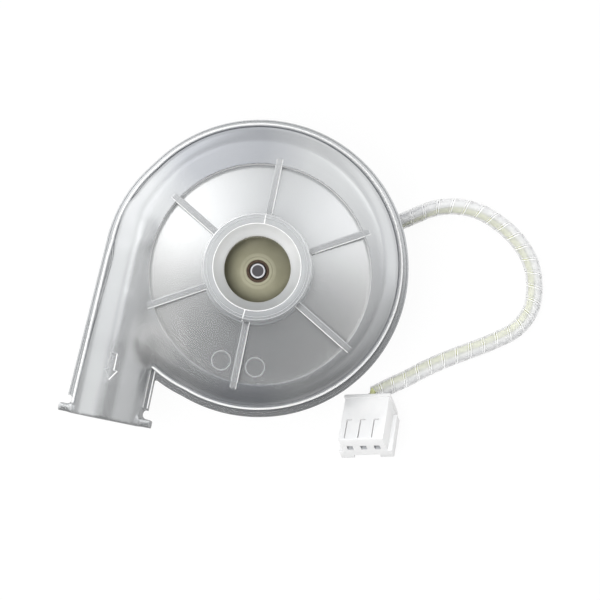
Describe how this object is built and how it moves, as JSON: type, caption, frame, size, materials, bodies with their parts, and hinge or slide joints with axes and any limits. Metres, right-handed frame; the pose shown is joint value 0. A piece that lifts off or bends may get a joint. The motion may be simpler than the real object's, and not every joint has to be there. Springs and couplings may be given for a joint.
{
  "type": "centrifugal blower",
  "caption": "Miniature centrifugal blower: clear volute housing with tangential outlet pipe, brushless motor, khaki impeller and a wrapped lead with a white plug.",
  "frame": {"origin": "on the shaft axis at the underside of the end cap, the face the blower rests on", "axes": "+Z along the shaft toward the air inlet; the outlet pipe blows toward -Y on the -X side; the lead leaves toward +X"},
  "size_m": [0.0799, 0.0573, 0.0256],
  "materials": {
    "clear_housing": "frosted clear moulded plastic",
    "khaki_plastic": "khaki engineering plastic, satin",
    "steel": "ground steel",
    "bearing_steel": "polished bearing steel",
    "lamination_steel": "stacked electrical steel",
    "magnet": "nickel plated sintered magnet",
    "aluminium": "machined aluminium",
    "brass": "turned brass",
    "bronze": "dark sintered bronze",
    "copper": "enamelled copper wire",
    "board": "green solder mask",
    "nylon": "white nylon",
    "cage_plastic": "brown bearing cage plastic",
    "black_rubber": "black rubber",
    "wrap_plastic": "white spiral wrap over the wires",
    "wire": "insulated wire",
    "tin": "tin plated contact"
  },
  "bodies": {
    "housing": {"inlet_cover": "clear_housing", "motor_cover": "clear_housing", "plate_gasket": "black_rubber", "end_cap": "clear_housing", "end_cap_screws": "steel", "motor_plate": "aluminium", "motor_plate_screws": "steel", "stator_core": "lamination_steel", "upper_insulator": "nylon", "lower_insulator": "nylon", "windings": "copper", "circuit_board": "board", "motor_leads": "wire", "preload_washer": "steel", "lower_outer_race": "bearing_steel", "upper_outer_race": "bearing_steel", "lower_shields": "bearing_steel", "upper_shields": "bearing_steel", "grommet": "black_rubber", "lead_wrap": "wrap_plastic", "plug_wires": "wire", "plug_housing": "nylon", "plug_contacts": "tin"},
    "rotor": {"shaft": "steel", "rotor_magnet": "magnet", "magnet_sleeve": "steel", "lower_balance_ring": "brass", "upper_balance_ring": "brass", "impeller_bush": "bronze", "impeller": "khaki_plastic", "lower_inner_race": "bearing_steel", "upper_inner_race": "bearing_steel"},
    "lower_cage": {"lower_cage": "cage_plastic", "lower_balls": "bearing_steel"},
    "upper_cage": {"upper_cage": "cage_plastic", "upper_balls": "bearing_steel"}
  },
  "joints": [
    {"name": "rotor_spin", "type": "hinge", "parent": "housing", "child": "rotor", "pos_m": [0, 0, 0.01], "axis": [0, 0, 1], "continuous": true},
    {"name": "lower_cage_spin", "type": "hinge", "parent": "housing", "child": "lower_cage", "pos_m": [0, 0, 0.00235], "axis": [0, 0, 1], "continuous": true},
    {"name": "upper_cage_spin", "type": "hinge", "parent": "housing", "child": "upper_cage", "pos_m": [0, 0, 0.01315], "axis": [0, 0, 1], "continuous": true}
  ],
  "couplings": [
    {"joint": "lower_cage_spin", "follows": "rotor_spin", "ratio": 0.39},
    {"joint": "upper_cage_spin", "follows": "rotor_spin", "ratio": 0.39}
  ]
}
